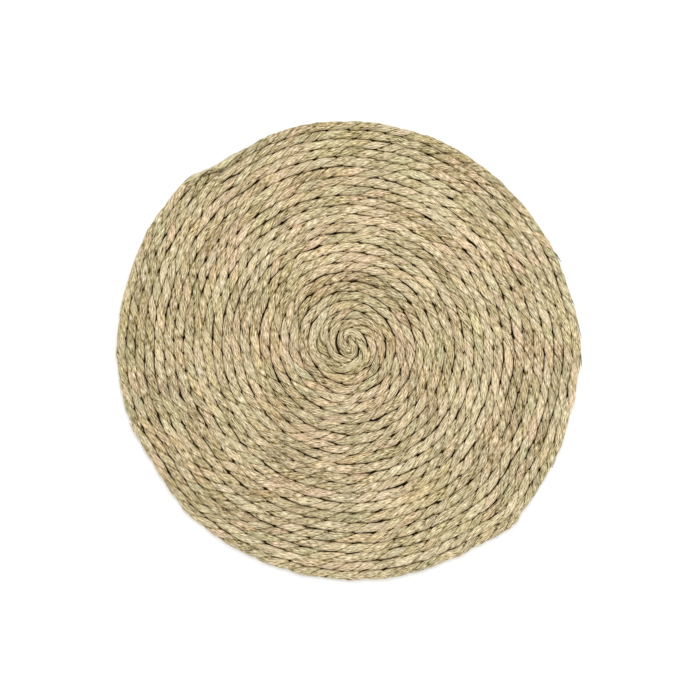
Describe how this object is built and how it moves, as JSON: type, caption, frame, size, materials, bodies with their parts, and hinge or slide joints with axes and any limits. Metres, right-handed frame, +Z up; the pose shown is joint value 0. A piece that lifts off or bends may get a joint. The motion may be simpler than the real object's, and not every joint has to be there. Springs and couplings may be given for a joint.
{
  "type": "round coiled seagrass placemat",
  "caption": "Round table mat of one twisted seagrass rope, coiled flat from its centre and sewn turn to turn, to lie under a plate or a hot dish.",
  "frame": {"origin": "middle of the mat's outline, on the surface it lies on", "axes": "+Z up out of the table, +X right and +Y away from the person the mat lies in front of; the rope's tail end is at the upper left of the rim"},
  "size_m": [0.3833, 0.3789, 0.0074],
  "materials": {
    "seagrass": "dry matt twisted seagrass leaf, straw with green, golden and pinkish tints"
  },
  "bodies": {
    "root": {"coiled_rope": "seagrass"}
  },
  "joints": []
}
